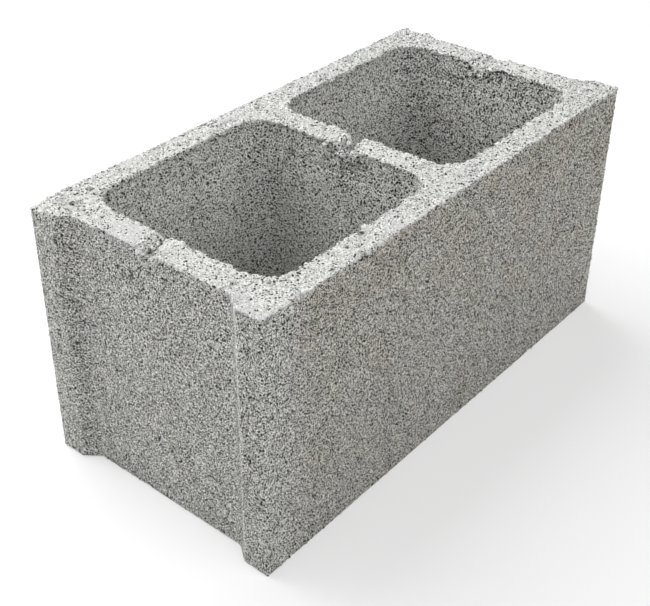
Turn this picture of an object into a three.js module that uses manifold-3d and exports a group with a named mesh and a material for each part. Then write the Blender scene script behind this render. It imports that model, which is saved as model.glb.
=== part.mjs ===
// Two-cell hollow concrete block with flanged ends, cast as one piece, in its as-moulded position.
// Millimetres. +X runs along the length, +Y through the wall, +Z up. The origin is the middle of the bed.

import * as THREE from "three";
import { mergeVertices } from "three/addons/utils/BufferGeometryUtils.js";
import Module from "manifold-3d";

// Overall size, for a 400 x 200 x 200 module with 10 mm joints.
const BLOCK_LENGTH = 390;
const BLOCK_WIDTH = 190;
const BLOCK_HEIGHT = 190;

// Walls, measured at the top, where the cells are widest.
const FACE_SHELL = 20.5;
const CENTRE_WEB = 20;
const END_WEB = 21.5;

// Cells, left by two cores that narrow downwards so that the block strips off them.
const CELL_CORNER_RADIUS = 20;
const CORE_DRAFT_DEG = 0.9;

// Each end is recessed between two flanges, which hold the mortar of the end joint.
const RECESS_DEPTH = 8.5;
const FLANGE_LAND = 20;
const FLANGE_SLOPE_WIDTH = 11;
const SLOPE_FOOT_RADIUS = 7;
const SLOPE_ARRIS_RADIUS = 1.6;

// Outside edges: the four upright corners, and the arrises round the top and the bed.
const UPRIGHT_EDGE_RADIUS = 3;
const BED_EDGE_RADIUS = 1.2;

// The bar that carried the cores crossed the tops of all three webs and left a trough in each.
const TROUGH_MOUTH = 18;
const TROUGH_FLOOR = 4;
const TROUGH_DEPTH = 10;
const TROUGH_FLOOR_RADIUS = 2.5;
const TROUGH_OFFSET = 3;

// Fineness of the round stretches, and how far a cutter runs past the surface it opens.
const SMALL_ARC_SEGMENTS = 4;
const CELL_ARC_SEGMENTS = 12;
const BED_EDGE_SEGMENTS = 3;
const CUTTER_OVERRUN = 5;

const halfLength = BLOCK_LENGTH / 2;
const halfWidth = BLOCK_WIDTH / 2;
const cellLength = halfLength - RECESS_DEPTH - END_WEB - CENTRE_WEB / 2;
const cellWidth = BLOCK_WIDTH - 2 * FACE_SHELL;
const cellCentre = (CENTRE_WEB + cellLength) / 2;
const draft = Math.tan(THREE.MathUtils.degToRad(CORE_DRAFT_DEG));

// A bed edge is always rounded less than the upright edges that run into it.
const bedEdgeRadius = Math.min(BED_EDGE_RADIUS, 0.9 * Math.min(UPRIGHT_EDGE_RADIUS, SLOPE_ARRIS_RADIUS));

const wasm = await Module();
wasm.setup();

/** A closed outline through corners [x, y, radius], each rounded by an arc that meets both its sides. */
function roundedOutline(corners) {
  const outline = new THREE.Shape();
  corners.forEach(([x, y, radius], index) => {
    const corner = new THREE.Vector2(x, y);
    const directionTo = ([otherX, otherY]) => new THREE.Vector2(otherX, otherY).sub(corner).normalize();
    const back = directionTo(corners.at(index - 1));
    const ahead = directionTo(corners[(index + 1) % corners.length]);
    const halfAngle = Math.acos(back.dot(ahead)) / 2;
    const bisector = back.clone().add(ahead).normalize();
    const centre = corner.clone().addScaledVector(bisector, radius / Math.sin(halfAngle));
    const tangentReach = radius / Math.tan(halfAngle);
    const start = corner.clone().addScaledVector(back, tangentReach).sub(centre);
    const end = corner.clone().addScaledVector(ahead, tangentReach).sub(centre);
    const turnsInwards = back.cross(ahead) > 0;
    outline.absarc(centre.x, centre.y, radius, start.angle(), end.angle(), turnsInwards);
  });
  return outline;
}

/** The block's plan, anticlockwise: one quarter of it, with half an end, mirrored into the other three. */
function planOutline() {
  const quarter = [
    [halfLength - RECESS_DEPTH, halfWidth - FLANGE_LAND - FLANGE_SLOPE_WIDTH, SLOPE_FOOT_RADIUS],
    [halfLength, halfWidth - FLANGE_LAND, SLOPE_ARRIS_RADIUS],
    [halfLength, halfWidth, UPRIGHT_EDGE_RADIUS],
  ];
  const mirrored = (signX, signY) => quarter.map(([x, y, radius]) => [signX * x, signY * y, radius]);
  return roundedOutline([
    ...mirrored(1, 1),
    ...mirrored(-1, 1).reverse(),
    ...mirrored(-1, -1),
    ...mirrored(1, -1).reverse(),
  ]);
}

/** The whole body before it is hollowed: the plan raised to full height, its top and bed edges rounded. */
function bodyGeometry() {
  const geometry = new THREE.ExtrudeGeometry(planOutline(), {
    depth: BLOCK_HEIGHT - 2 * bedEdgeRadius,
    bevelThickness: bedEdgeRadius,
    bevelSize: bedEdgeRadius,
    bevelOffset: -bedEdgeRadius,
    bevelSegments: BED_EDGE_SEGMENTS,
    curveSegments: SMALL_ARC_SEGMENTS,
  });
  return geometry.translate(0, 0, bedEdgeRadius);
}

/** One core: a rounded rectangle as large as the cell's mouth, drawn in by the draft on its way down. */
function coreGeometry(centreX) {
  const reachX = cellLength / 2;
  const reachY = cellWidth / 2;
  const mouth = roundedOutline([
    [reachX, -reachY, CELL_CORNER_RADIUS],
    [reachX, reachY, CELL_CORNER_RADIUS],
    [-reachX, reachY, CELL_CORNER_RADIUS],
    [-reachX, -reachY, CELL_CORNER_RADIUS],
  ]);
  const geometry = new THREE.ExtrudeGeometry(mouth, {
    depth: BLOCK_HEIGHT + 2 * CUTTER_OVERRUN,
    bevelEnabled: false,
    curveSegments: CELL_ARC_SEGMENTS,
  });
  geometry.translate(0, 0, -CUTTER_OVERRUN);
  const position = geometry.getAttribute("position");
  for (let index = 0; index < position.count; index += 1) {
    const inset = draft * (BLOCK_HEIGHT - position.getZ(index));
    const x = position.getX(index);
    const y = position.getY(index);
    position.setXY(index, x - Math.sign(x) * inset, y - Math.sign(y) * inset);
  }
  return geometry.translate(centreX, 0, 0);
}

/** The core bar's trough: a flared section with a rounded floor, run along X through all three webs. */
function troughGeometry() {
  const flare = (TROUGH_MOUTH - TROUGH_FLOOR) / 2 / TROUGH_DEPTH;
  const overrunReach = TROUGH_MOUTH / 2 + flare * CUTTER_OVERRUN;
  const section = new THREE.Shape();
  section.moveTo(overrunReach, CUTTER_OVERRUN);
  section.lineTo(-overrunReach, CUTTER_OVERRUN);
  section.lineTo(-TROUGH_FLOOR / 2 - flare * TROUGH_FLOOR_RADIUS, TROUGH_FLOOR_RADIUS - TROUGH_DEPTH);
  section.quadraticCurveTo(
    -TROUGH_FLOOR / 2, -TROUGH_DEPTH,
    0, -TROUGH_DEPTH,
  );
  section.quadraticCurveTo(
    TROUGH_FLOOR / 2, -TROUGH_DEPTH,
    TROUGH_FLOOR / 2 + flare * TROUGH_FLOOR_RADIUS, TROUGH_FLOOR_RADIUS - TROUGH_DEPTH,
  );
  const geometry = new THREE.ExtrudeGeometry(section, {
    depth: BLOCK_LENGTH + 2 * CUTTER_OVERRUN,
    bevelEnabled: false,
    curveSegments: SMALL_ARC_SEGMENTS,
  });
  const sectionToBlock = new THREE.Matrix4().makeBasis(
    new THREE.Vector3(0, 1, 0),
    new THREE.Vector3(0, 0, 1),
    new THREE.Vector3(1, 0, 0),
  );
  geometry.applyMatrix4(sectionToBlock);
  return geometry.translate(-halfLength - CUTTER_OVERRUN, TROUGH_OFFSET, BLOCK_HEIGHT);
}

/** A closed geometry as a solid that can be cut. */
function toSolid(geometry) {
  geometry.deleteAttribute("normal");
  geometry.deleteAttribute("uv");
  const merged = mergeVertices(geometry);
  return new wasm.Manifold(new wasm.Mesh({
    numProp: 3,
    vertProperties: new Float32Array(merged.getAttribute("position").array),
    triVerts: new Uint32Array(merged.getIndex().array),
  }));
}

/** A solid's surface as a geometry with normals. */
function toGeometry(solid) {
  const mesh = solid.getMesh();
  const geometry = new THREE.BufferGeometry();
  geometry.setAttribute("position", new THREE.BufferAttribute(mesh.vertProperties, 3));
  geometry.setIndex(new THREE.BufferAttribute(mesh.triVerts, 1));
  geometry.computeVertexNormals();
  return geometry;
}

/** The cast block: the body less both cells and the core bar's trough. */
function castBlock() {
  const concrete = new THREE.MeshStandardMaterial({ color: 0x9b9a93, roughness: 0.95, metalness: 0 });
  const solid = toSolid(bodyGeometry())
    .subtract(toSolid(coreGeometry(-cellCentre)))
    .subtract(toSolid(coreGeometry(cellCentre)))
    .subtract(toSolid(troughGeometry()));
  const block = new THREE.Mesh(toGeometry(solid), concrete);
  block.name = "concrete_block";
  return block;
}

const group = new THREE.Group();
group.add(castBlock());

export default group;
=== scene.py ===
"""Looks of a dry-cast hollow concrete block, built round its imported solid. Metres; +X along it, +Z up."""

import math

import bpy
import numpy as np
from mathutils import Matrix, Vector


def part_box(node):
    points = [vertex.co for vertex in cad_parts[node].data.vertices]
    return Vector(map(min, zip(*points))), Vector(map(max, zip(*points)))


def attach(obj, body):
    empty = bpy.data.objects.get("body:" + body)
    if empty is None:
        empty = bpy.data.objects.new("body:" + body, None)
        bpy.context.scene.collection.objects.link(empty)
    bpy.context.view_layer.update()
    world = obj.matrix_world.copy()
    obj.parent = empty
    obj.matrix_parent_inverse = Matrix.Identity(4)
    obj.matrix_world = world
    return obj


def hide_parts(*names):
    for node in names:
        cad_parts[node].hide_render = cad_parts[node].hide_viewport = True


MM = 0.001
# Below these a length and an area count as none, and two levels as one.
NO_LENGTH = 1e-12
NO_AREA = 1e-15
SAME_LEVEL = 1e-9

NODE = "concrete_block"
BODY = "root"

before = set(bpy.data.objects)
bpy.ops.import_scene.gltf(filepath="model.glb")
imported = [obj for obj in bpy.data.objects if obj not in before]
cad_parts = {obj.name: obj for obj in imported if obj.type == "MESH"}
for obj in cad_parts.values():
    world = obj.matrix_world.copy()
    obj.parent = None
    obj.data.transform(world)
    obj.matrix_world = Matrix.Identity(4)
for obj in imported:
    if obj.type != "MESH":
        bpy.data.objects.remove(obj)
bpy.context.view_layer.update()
HIGH = np.array(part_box(NODE)[1])

# ---- Sizes -----------------------------------------------------------

HALF_LENGTH, HALF_WIDTH, HEIGHT = HIGH

FACE_SHELL = 20.5 * MM
CENTRE_WEB = 20 * MM
END_WEB = 21.5 * MM
CELL_CORNER = 20 * MM
CORE_DRAFT = math.tan(math.radians(0.9))

RECESS_DEPTH = 8.5 * MM
FLANGE_LAND = 20 * MM
FLANGE_SLOPE = 11 * MM
SLOPE_FOOT_RADIUS = 7 * MM
SLOPE_ARRIS_RADIUS = 1.2 * MM
UPRIGHT_EDGE_RADIUS = 2.5 * MM
BED_EDGE_RADIUS = 1.2 * MM

# The core bar's trough at each web, in mm: its middle, half its mouth, half its floor and its depth, at
# the web's -X face and at its +X face.
TROUGHS = {
    -1: ((2, 9, 1.5, 10), (7, 6.5, 2, 2.5)),
    0: ((-3, 11, 3, 8), (4.5, 9, 0.8, 10)),
    1: ((8, 12, 4, 6), (3, 10, 4, 2)),
}
# Below this level the body is one skin of cement; above it lies the crown, whose mesh is finer.
CROWN_BASE = 168 * MM
CROWN_OVERLAP = 0.5 * MM

RECESS_FACE = HALF_LENGTH - RECESS_DEPTH
SLOPE_ARRIS = HALF_WIDTH - FLANGE_LAND
SLOPE_FOOT = SLOPE_ARRIS - FLANGE_SLOPE
CELL_NEAR = CENTRE_WEB / 2
CELL_FAR = RECESS_FACE - END_WEB
CELL_SIDE = HALF_WIDTH - FACE_SHELL
CELL_CENTRE = (CELL_NEAR + CELL_FAR) / 2

# How far the cement skin lies behind the mould's plane: the grains stand out of it up to that plane,
# where they are pressed flat over the second distance.
SKIN_DEPTH = 0.6 * MM
MOULD_SOFTNESS = 0.12 * MM

# ---- Noise over whole arrays of points -------------------------------

PRIMES = (73856093, 19349663, 83492791)
SEED_STEP = 40503
SEED_START = 12345
SCRAMBLE = 0x45D9F3B
LOW_32_BITS = 0xFFFFFFFF


def hashed(cells, seed):
    """A number from 0 to 1 for each row of whole numbers. They are multiplied by large primes, joined by
    exclusive or with the seed's, and scrambled twice by h = (h ^ h >> 16) * SCRAMBLE."""
    i, j, k = (cells.astype(np.int64) * PRIMES).T
    mixed = (i ^ j ^ k ^ (seed * SEED_STEP + SEED_START)) & LOW_32_BITS
    for _ in range(2):
        mixed = ((mixed >> 16) ^ mixed) * SCRAMBLE & LOW_32_BITS
    return ((mixed >> 16) ^ mixed) / LOW_32_BITS


def smooth_noise(points, size, seed):
    """Value noise from -1 to 1: a random number at each point of a cubic lattice, blended between them by
    s = t^2 (3 - 2t) along each axis."""
    scaled = points / size
    cell = np.floor(scaled)
    share = scaled - cell
    blend = share * share * (3 - 2 * share)
    total = np.zeros(len(points))
    for corner in np.ndindex(2, 2, 2):
        weight = np.prod(np.where(corner, blend, 1 - blend), axis=1)
        total += weight * hashed(cell + corner, seed)
    return 2 * total - 1


def rough_noise(points, size, seed, layers=3):
    """A sum of smooth noises, each half the size and 0.55 times the height of the last, scaled to 1."""
    heights = 0.55 ** np.arange(layers)
    total = sum(height * smooth_noise(points, size / 2**n, seed + n) for n, height in enumerate(heights))
    return total / heights.sum()


def spots(points, size, share, radii, seed, power=2.0):
    """Round spots scattered in space: of the cubes of the given size, that share holds one with a radius
    R between the two radii. Its depth is (1 - (d/R)^2)^power of R at distance d; the deeper one counts."""
    cell = np.floor(points / size)
    deepest = np.zeros(len(points))
    for step in np.ndindex(3, 3, 3):
        other = cell + np.array(step) - 1
        centre = (other + np.column_stack([hashed(other, seed + axis) for axis in range(3)])) * size
        radius = radii[0] + (radii[1] - radii[0]) * hashed(other, seed + 3)
        near = np.clip(1 - ((points - centre) ** 2).sum(1) / radius**2, 0, 1)
        depth = np.where(hashed(other, seed + 4) < share, radius * near**power, 0)
        deepest = np.maximum(deepest, depth)
    return deepest


def cracks(points, size, width, seed):
    """1 along thin wandering lines and 0 away from them: where a smooth noise passes through 0 and a
    second one is high."""
    line_share = 1 - smoothstep(0.3 * width, width, np.abs(smooth_noise(points, size, seed)) * size)
    return line_share * smoothstep(0.1, 0.3, smooth_noise(points, 2 * size, seed + 1))


def at_level(xy, z=0.0):
    """Plan points (x, y) as points in space, all at one level or each at its own."""
    return np.column_stack([xy, np.full(len(xy), z)])


def distance_to(points, place, reach=1.0):
    """How far points lie from a place, each way counted in units of its reach."""
    return np.linalg.norm((points - np.array(place)) / reach, axis=1)


def unit(vectors):
    """Vectors scaled to length 1; those of no length stay as they are."""
    return vectors / np.maximum(np.linalg.norm(vectors, axis=-1, keepdims=True), NO_LENGTH)


def smoothstep(low, high, values):
    """0 below low, 1 above high, and t^2 (3 - 2t) between them."""
    t = np.clip((values - low) / (high - low), 0, 1)
    return t * t * (3 - 2 * t)


# ---- The plan: pairs of points across the wall of one cell -----------

BEND_POINTS = 6
WEB_STEP = 1.2 * MM


def line(start, end, shares):
    """Points on a straight at the given shares of its length."""
    return np.array(start) + np.asarray(shares)[:, None] * (np.array(end) - np.array(start))


def turn(centre, start_deg, end_deg, shares):
    """Points round a cell's corner, at the given shares of the turn between two angles."""
    angle = np.radians(start_deg + np.asarray(shares) * (end_deg - start_deg))
    return np.array(centre) + CELL_CORNER * np.column_stack([np.cos(angle), np.sin(angle)])


def shares_of(length, step):
    """The shares 0, 1/n, 2/n and so on, short of 1, that cut a length into n parts within the step."""
    count = math.ceil(length / step)
    return np.arange(count) / count


def rounded(before, corner, after, radius, count):
    """A corner of a path turned by the quadratic curve (1-t)^2 A + 2t(1-t) C + t^2 B, whose ends A and B
    lie where a circle of the given radius would touch the two straights."""
    corner = np.array(corner)
    back, ahead = (unit(np.array(p) - corner) for p in (before, after))
    reach = radius / math.tan(math.acos(np.dot(back, ahead)) / 2)
    t = np.linspace(0, 1, count)[:, None]
    start, end = corner + reach * back, corner + reach * ahead
    return (1 - t) ** 2 * start + 2 * t * (1 - t) * corner + t**2 * end


def flange_outside(step):
    """The outside of the -Y flange at the +X end, from the face shell to the recess."""
    corners = [
        (CELL_FAR - CELL_CORNER, -HALF_WIDTH),
        (HALF_LENGTH, -HALF_WIDTH),
        (HALF_LENGTH, -SLOPE_ARRIS),
        (RECESS_FACE, -SLOPE_FOOT),
        (RECESS_FACE, CELL_CORNER - CELL_SIDE),
    ]
    radii = [UPRIGHT_EDGE_RADIUS, SLOPE_ARRIS_RADIUS, SLOPE_FOOT_RADIUS]
    pieces = []
    start = np.array(corners[0])
    for n, radius in enumerate(radii):
        bend = rounded(*corners[n : n + 3], radius, BEND_POINTS)
        pieces += [line(start, bend[0], shares_of(np.linalg.norm(bend[0] - start), step)), bend[:-1]]
        start = bend[-1]
    end = np.array(corners[-1])
    return np.concatenate([*pieces, line(start, end, shares_of(np.linalg.norm(end - start), step))])


def half_plan(step):
    """The plan of the +X half, anticlockwise from the joint at x = 0, as pairs of points no further apart
    than the step, or than 1.2 mm along the webs. One of a pair is on the outside or the joint, and the
    other on the cell's mouth, across the wall from it."""
    near, far = CELL_NEAR + CELL_CORNER, CELL_FAR - CELL_CORNER
    side = CELL_SIDE - CELL_CORNER
    flange = flange_outside(step)
    length = np.concatenate([[0], np.cumsum(np.linalg.norm(np.diff(flange, axis=0), axis=1))])
    round_flange = length / (length[-1] + step)
    down_web = line([-side], [side], shares_of(2 * side, min(step, WEB_STEP)))
    even, corner = shares_of(far - near, step), shares_of(near, step)
    down_joint = shares_of(HALF_WIDTH - side, step)

    def across(x):
        """The points along the web's face at one x."""
        return np.column_stack([np.full(len(down_web), x), down_web[:, 0]])

    def mirrored(points, end):
        """The same stretch on the +Y side, run the other way from its end."""
        return np.concatenate([[end], points[:0:-1]]) * (1, -1)

    first_half = [
        (line((0, -HALF_WIDTH), (near, -HALF_WIDTH), corner), turn((near, -side), 225, 270, corner)),
        (
            line((near, -HALF_WIDTH), (far, -HALF_WIDTH), even),
            line((near, -CELL_SIDE), (far, -CELL_SIDE), even),
        ),
        (flange, turn((far, -side), 270, 360, round_flange)),
    ]
    ends = [(first_half[n + 1][0][0], first_half[n + 1][1][0]) for n in range(2)]
    ends.append((np.array((RECESS_FACE, -side)), np.array((CELL_FAR, -side))))
    second_half = [
        (mirrored(outer, end[0]), mirrored(inner, end[1]))
        for (outer, inner), end in zip(first_half[::-1], ends[::-1])
    ]
    joint = [
        (line((0, HALF_WIDTH), (0, side), down_joint), turn((near, side), 135, 180, down_joint)),
        (across(0)[::-1], across(CELL_NEAR)[::-1]),
        (
            line((0, -HALF_WIDTH), (0, -side), down_joint)[:0:-1],
            turn((near, -side), 225, 180, down_joint)[:0:-1],
        ),
    ]
    pairs = [*first_half, (across(RECESS_FACE), across(CELL_FAR)), *second_half, *joint]
    outside, mouth = (np.concatenate(points) for points in zip(*pairs))
    return outside, mouth


# ---- The top and its worn places -------------------------------------

# Worn places in the top, in mm: the middle (x, y), the reach each way, and the depth.
TOP_HOLLOWS = np.array([
    (-175, 76, 2.5, 3.0, 2.4), (-171, 75, 1.8, 2.0, 2.0), (-180, 79, 3.0, 3.5, 2.0),
    (-176, 85, 2.5, 2.0, 1.6), (-157, 82, 2.0, 2.6, 2.2), (-152, 75, 1.6, 2.0, 1.6),
    (-191, 83, 3.5, 1.4, 0.9), (-187, 37, 2.0, 1.8, 2.2), (-177, -59, 3.5, 1.2, 1.6),
    (-182, -61, 3.0, 1.2, 1.8), (-85, -91, 2.5, 3.0, 1.5), (-77, -78.5, 1.2, 3.5, 1.8),
    (-91, -80, 2.0, 2.5, 2.2), (-46, -81, 3.5, 1.0, 1.6), (-101, -95, 2.0, 1.5, 1.8),
    (-107, -94, 1.6, 1.8, 1.5), (197, 84, 9.0, 12.0, 5.0),
]) * MM


def outside_distance(xy):
    """How far plan points lie inside the block's outline: the least distance to a side, a flange's end
    and the recess, its slope included."""
    x, y = np.abs(xy).T
    rise = RECESS_DEPTH / FLANGE_SLOPE
    to_slope = (RECESS_FACE - x + (y - SLOPE_FOOT) * rise) / math.hypot(1, rise)
    to_end = np.minimum(HALF_LENGTH - x, np.maximum(RECESS_FACE - x, to_slope))
    return np.clip(np.minimum(to_end, HALF_WIDTH - y), 0, None)


def mouth_distance(xy):
    """How far plan points lie from the nearest cell's mouth, a rectangle with corners of radius R: |q| - R,
    where q is how far the point is past the corner's centre along each axis, and at least 0."""
    past = np.abs(np.column_stack([np.abs(xy[:, 0]) - CELL_CENTRE, xy[:, 1]]))
    past -= np.array([(CELL_FAR - CELL_NEAR) / 2, CELL_SIDE]) - CELL_CORNER
    return np.clip(np.linalg.norm(np.clip(past, 0, None), axis=1) - CELL_CORNER, 0, None)


def edge_drop(distance, radius):
    """How far an edge rounded by r lies below its level at distance d from it: r - sqrt(r^2 - (r - d)^2)."""
    short = np.clip(radius - distance, 0, radius)
    return radius - np.sqrt(radius**2 - short**2)


# Where the outside arris is worn further, in mm: the place (x, y), how far along, and the radius added.
WORN_EDGES = np.array([
    (-195, 95, 20, 4.0),
    (195, -95, 20, 2.0),
    (195, 95, 10, 2.5),
    (-92, -95, 24, 2.0),
    (-186.5, -22, 18, 2.5),
]) * MM


def outer_edge_radius(xy):
    """The radius worn on the outside arris: 0.3 to 1.3 mm at random, and more at the worn edges."""
    radius = (0.8 + 0.5 * rough_noise(at_level(xy), 14 * MM, seed=11)) * MM
    for x, y, along, extra in WORN_EDGES:
        radius += extra * (1 - smoothstep(0.3 * along, along, distance_to(xy, (x, y))))
    return radius


def mouth_edge_radius(xy):
    """The radius worn on a cell's rim: 0.5 to 4.3 mm, changing within a few millimetres."""
    return (2.4 + 1.9 * rough_noise(at_level(xy), 9 * MM, seed=23)) * MM


def trough_depth(xy):
    """Depth of the core bar's troughs: D (a - |y - c|) / (a - b), held between 0 and D. The middle c,
    half mouth a, half floor b and depth D change evenly from one face of the web to the other, and the
    mouth wanders by up to 1.5 mm."""
    wander = 1.5 * MM * rough_noise(at_level(xy), 8 * MM, seed=31)
    depth = np.zeros(len(xy))
    for place, sections in TROUGHS.items():
        half = (END_WEB if place else CENTRE_WEB) / 2
        middle = place * (CELL_FAR + half) if place else 0
        at_low, at_high = np.array(sections) * MM
        share = np.clip((xy[:, 0] - middle) / (2 * half) + 0.5, 0, 1)[:, None]
        centre, mouth, floor_half, deep = (at_low + share * (at_high - at_low)).T
        side = np.clip((mouth + wander - np.abs(xy[:, 1] - centre)) / (mouth - floor_half), 0, 1)
        at_web = np.abs(xy[:, 0] - middle) < 2 * half
        depth = np.where(at_web, np.maximum(depth, deep * side), depth)
    return depth


def hollow_depth(xy):
    """Depth of the worn places: each is its depth times sqrt(1 - u^2), where u is the distance from its
    middle as a share of its reach, roughened by noise; where they meet, the deeper counts."""
    ragged = 1 + 0.5 * rough_noise(at_level(xy), 6 * MM, seed=41)
    deepest = np.zeros(len(xy))
    for x, y, reach_x, reach_y, depth in TOP_HOLLOWS:
        u2 = ((xy[:, 0] - x) / reach_x) ** 2 + ((xy[:, 1] - y) / reach_y) ** 2
        deepest = np.maximum(deepest, depth * ragged * np.clip(1 - u2, 0, 1) ** 0.5)
    return deepest


def top_level(xy):
    """The level of the top at plan points, less its rounded edges, the trough and the worn places."""
    outer = edge_drop(outside_distance(xy), outer_edge_radius(xy))
    rim = edge_drop(mouth_distance(xy), mouth_edge_radius(xy))
    cut = np.maximum(trough_depth(xy), hollow_depth(xy))
    return HEIGHT - np.maximum(outer, rim) - cut


def bed_level(xy):
    """The level of the bed at plan points: 0, rounded up at both edges."""
    distance = np.minimum(outside_distance(xy), mouth_distance(xy))
    return edge_drop(distance, np.full(len(xy), BED_EDGE_RADIUS))


def drawn_in(xy, level):
    """Points of a cell's mouth moved towards its middle by the core's draft: tan(0.9 degrees) of depth."""
    inset = CORE_DRAFT * (HEIGHT - level)
    x, y = xy.T
    towards = np.sign(np.abs(x) - CELL_CENTRE) * np.sign(x)
    reach = np.abs(np.abs(x) - CELL_CENTRE)
    moved_x = x - towards * np.minimum(inset, reach)
    moved_y = y - np.sign(y) * np.minimum(inset, np.abs(y))
    return np.column_stack([moved_x, moved_y])


# ---- The body's grids ------------------------------------------------

BODY_STEP = 2.3 * MM
CROWN_STEP = 1.0 * MM
# The rows of each grid, as shares of the way along it. Those up the crown draw together towards the top.
BODY_WALL_SHARES = np.linspace(0, 1, 42)
CROWN_WALL_SHARES = 1 - np.linspace(1, 0, 15) ** 1.3
TOP_SHARES = np.linspace(0, 1, 29)
BED_SHARES = np.array([0, 0.03, 0.1, 0.35, 0.65, 0.9, 0.97, 1])


def blend(start, end, shares):
    """Rows of points between two rows, at the given shares of the way."""
    return start[:, None] + shares[None, :, None] * (end - start)[:, None]


def levelled(plan, level):
    """Points of a plan grid lifted to the level that a function gives for them."""
    flat = plan.reshape(-1, 2)
    return at_level(flat, level(flat)).reshape(*plan.shape[:2], 3)


def cell_wall(mouth, high, low, shares):
    """The cell's wall from one level down to another, drawn in by the core's draft."""
    wall = blend(at_level(mouth, high), at_level(mouth, low), shares)
    plan = drawn_in(np.repeat(mouth, wall.shape[1], axis=0), wall[..., 2].ravel())
    wall[..., :2] = plan.reshape(*wall.shape[:2], 2)
    return wall


def body_grid(side):
    """One half of the body below the crown: a column for each pair of the plan, and rows that run up the
    outside, straight across under the crown, down the cell and back across the bed."""
    outside, mouth = (points * (side, 1) for points in half_plan(BODY_STEP))
    bed = levelled(blend(drawn_in(mouth, 0), outside, BED_SHARES), bed_level)
    up = blend(bed[:, -1], at_level(outside, CROWN_BASE), BODY_WALL_SHARES)
    down = cell_wall(mouth, CROWN_BASE, bed[:, 0, 2], BODY_WALL_SHARES)
    return np.concatenate([up, down[:, :-1], bed[:, :-1]], axis=1)


def crown_grid(side):
    """One half of the crown: rows that run up the outside, across the top and down the cell, closed
    straight across at the crown's base."""
    outside, mouth = (points * (side, 1) for points in half_plan(CROWN_STEP))
    base = CROWN_BASE - CROWN_OVERLAP
    top = levelled(blend(outside, mouth, TOP_SHARES), top_level)
    up = blend(at_level(outside, base), top[:, 0], CROWN_WALL_SHARES)
    down = cell_wall(mouth, top[:, -1, 2], base, 1 - CROWN_WALL_SHARES[::-1])
    return np.concatenate([up[:, :-1], top[:, :-1], down], axis=1)


def grid_faces(columns, rows, around=True):
    """The four-sided faces of a grid: each column is a closed loop, and where the grid goes all round,
    its last column joins its first."""
    column, row = np.meshgrid(np.arange(columns if around else columns - 1), np.arange(rows), indexing="ij")
    next_column, next_row = (column + 1) % columns, (row + 1) % rows
    corners = [(column, row), (next_column, row), (next_column, next_row), (column, next_row)]
    return np.stack([c * rows + r for c, r in corners], axis=-1).reshape(-1, 4)


def both_halves(half_grid):
    """Both halves' points and faces, joined along x = 0, where they share points and have no faces."""
    right = half_grid(1)
    left = half_grid(-1)
    faces = grid_faces(*right.shape[:2])
    right, left = right.reshape(-1, 3), left.reshape(-1, 3)
    on_joint = right[:, 0] == 0
    faces = faces[~on_joint[faces].all(axis=1)]
    index = np.where(on_joint, np.arange(len(right)), np.arange(len(right)) + len(right))
    points = np.concatenate([right, left])
    faces = np.concatenate([faces, index[faces][:, ::-1]])
    used, faces = np.unique(faces, return_inverse=True)
    return points[used], faces.reshape(-1, 4)


def joint_faces(points, faces):
    """Which faces lie flat within the block, where the body and the crown meet."""
    level = points[faces, 2]
    inside = np.abs(level - CROWN_BASE).max(axis=1) < 2 * CROWN_OVERLAP
    return inside & (np.ptp(level, axis=1) < SAME_LEVEL)


def vertex_normals(points, faces):
    """Unit normals at the points: the sum of the cross products of the diagonals of the faces that meet
    there, the hidden faces of the joint left out."""
    a, b, c, d = (points[faces[:, n]] for n in range(4))
    across = np.cross(c - a, d - b) * ~joint_faces(points, faces)[:, None]
    total = np.zeros_like(points)
    for n in range(4):
        for axis in range(3):
            total[:, axis] += np.bincount(faces[:, n], across[:, axis], len(points))
    return unit(total)


# ---- The skin's relief, its broken places and its deep holes ---------


def relief(points):
    """How far the cement skin stands out along its normal: sunk by its depth, swelling, rough and holed."""
    height = -SKIN_DEPTH + 0.12 * MM * rough_noise(points, 30 * MM, seed=51, layers=2)
    height += 0.22 * MM * rough_noise(points, 7 * MM, seed=61)
    small = spots(points, 8 * MM, share=0.5, radii=(1.5 * MM, 2.8 * MM), seed=71)
    large = spots(points, 17 * MM, share=0.3, radii=(2.5 * MM, 4.5 * MM), seed=81)
    return height - np.maximum(0.6 * small, 0.7 * large)


# Places where the concrete broke away raggedly, in mm: the middle (x, y, z) and the reach each way.
BROKEN = np.array([
    (-182, 1, 184, 8, 11, 11),
    (-174, 6, 186, 6, 7, 4),
    (-9, -3, 179, 7, 13, 14),
    (165, 10, 184, 9, 15, 9),
]) * MM
BROKEN_DEPTH = 0.8 * MM

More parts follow.
